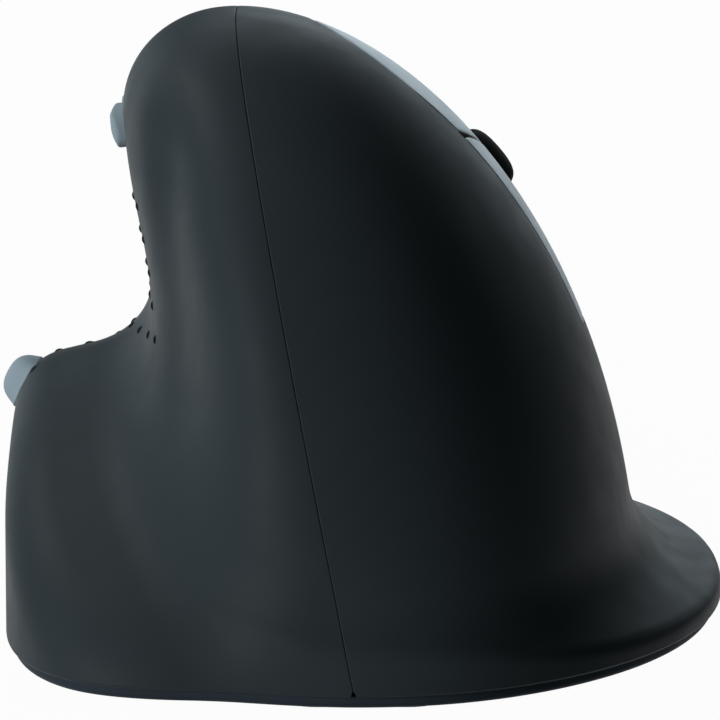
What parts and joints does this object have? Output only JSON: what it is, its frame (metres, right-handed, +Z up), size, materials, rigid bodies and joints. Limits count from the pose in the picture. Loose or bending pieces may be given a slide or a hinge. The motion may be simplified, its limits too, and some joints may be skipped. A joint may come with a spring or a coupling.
{
  "type": "vertical computer mouse",
  "caption": "Right-handed vertical mouse with a thumb shelf, finger buttons and scroll wheel on its flank, thumb and speed buttons, and the boards, sensor and battery inside.",
  "frame": {"origin": "middle of the bounding box on the desk plane, under the feet", "axes": "+X to the user's right (finger side), +Y forward (nose), +Z up from the desk"},
  "size_m": [0.0747, 0.1004, 0.0625],
  "materials": {
    "housing_black": "soft-touch matt black",
    "button_grey": "satin blue-grey",
    "base_black": "fine-grained black",
    "rubber_black": "matt rubber",
    "glide": "slippery plastic",
    "steel": "bright steel",
    "board_green": "solder mask",
    "chip_black": "moulded black",
    "white_plastic": "white plastic",
    "frame_black": "moulded black",
    "lens_clear": "clear moulding",
    "cell_wrap": "steel can in a plastic sleeve",
    "flex": "amber flat flex"
  },
  "bodies": {
    "housing": {"left_housing": "housing_black", "right_housing": "housing_black", "base_plate": "base_black", "glide_feet": "glide", "base_screws": "steel", "grip_dots": "rubber_black", "hinge_pin": "steel", "finger_frame": "frame_black", "finger_board": "board_green", "finger_board_screws": "steel", "upper_switch": "chip_black", "lower_switch": "chip_black", "click_switch": "chip_black", "thumb_switches": "chip_black", "thumb_board": "board_green", "thumb_board_screws": "steel", "speed_switch": "chip_black", "speed_board": "board_green", "speed_board_screws": "steel", "main_board": "board_green", "main_board_screws": "steel", "sensor_chip": "chip_black", "sensor_lens": "lens_clear", "controller_chip": "chip_black", "charging_socket": "steel", "battery_cell": "cell_wrap", "battery_strap": "frame_black", "power_switch": "chip_black", "finger_ribbon": "flex", "thumb_ribbon": "flex"},
    "upper_key": {"upper_button": "button_grey", "upper_lever": "frame_black"},
    "lower_key": {"lower_button": "button_grey", "lower_lever": "frame_black"},
    "upper_switch_key": {"upper_plunger": "white_plastic"},
    "lower_switch_key": {"lower_plunger": "white_plastic"},
    "wheel_mount": {"wheel_carriage": "frame_black", "scroll_encoder": "steel", "click_plunger": "white_plastic"},
    "wheel": {"wheel_tyre": "rubber_black", "wheel_hub": "frame_black", "wheel_axle": "steel"},
    "thumb_back_key": {"thumb_back_button": "button_grey", "thumb_back_plunger": "white_plastic"},
    "thumb_forward_key": {"thumb_forward_button": "button_grey", "thumb_forward_plunger": "white_plastic"},
    "speed_key": {"speed_button": "button_grey", "speed_plunger": "white_plastic"},
    "power_key": {"power_slider": "white_plastic"}
  },
  "joints": [
    {"name": "upper_button_press", "type": "hinge", "parent": "housing", "child": "upper_key", "pos_m": [0.00862, -0.006, 0.04055], "axis": [-0.6517, 0, 0.7585], "range_deg": [0, 0.8], "stiffness_Nm_per_rad": 0.6, "springref_deg": -1.15},
    {"name": "lower_button_press", "type": "hinge", "parent": "housing", "child": "lower_key", "pos_m": [0.00862, -0.006, 0.04055], "axis": [-0.6517, 0, 0.7585], "range_deg": [0, 0.8], "stiffness_Nm_per_rad": 0.6, "springref_deg": -1.15},
    {"name": "upper_switch_press", "type": "slide", "parent": "housing", "child": "upper_switch_key", "axis": [-0.7585, 0, -0.6517], "range_m": [0, 0.0003]},
    {"name": "lower_switch_press", "type": "slide", "parent": "housing", "child": "lower_switch_key", "axis": [-0.7585, 0, -0.6517], "range_m": [0, 0.0003]},
    {"name": "wheel_click", "type": "slide", "parent": "housing", "child": "wheel_mount", "axis": [-0.7585, 0, -0.6517], "range_m": [0, 0.0004], "stiffness_N_per_m": 3000, "springref_m": -0.0001},
    {"name": "wheel_spin", "type": "hinge", "parent": "wheel_mount", "child": "wheel", "pos_m": [0.00786, 0.012, 0.0399], "axis": [0.6517, 0, -0.7585], "continuous": true},
    {"name": "thumb_back_press", "type": "slide", "parent": "housing", "child": "thumb_back_key", "axis": [0.993, -0.1002, 0.0622], "range_m": [0, 0.00035], "stiffness_N_per_m": 3000, "springref_m": -0.0001},
    {"name": "thumb_forward_press", "type": "slide", "parent": "housing", "child": "thumb_forward_key", "axis": [0.993, -0.1002, 0.0622], "range_m": [0, 0.00035], "stiffness_N_per_m": 3000, "springref_m": -0.0001},
    {"name": "speed_press", "type": "slide", "parent": "housing", "child": "speed_key", "axis": [0.8387, 0, -0.5446], "range_m": [0, 0.00035], "stiffness_N_per_m": 3000, "springref_m": -0.0001},
    {"name": "power_slide", "type": "slide", "parent": "housing", "child": "power_key", "axis": [0, 1, 0], "range_m": [0, 0.003]}
  ],
  "couplings": [
    {"joint": "upper_switch_press", "follows": "upper_button_press", "m_per_rad": 0.0205},
    {"joint": "lower_switch_press", "follows": "lower_button_press", "m_per_rad": 0.0205}
  ]
}
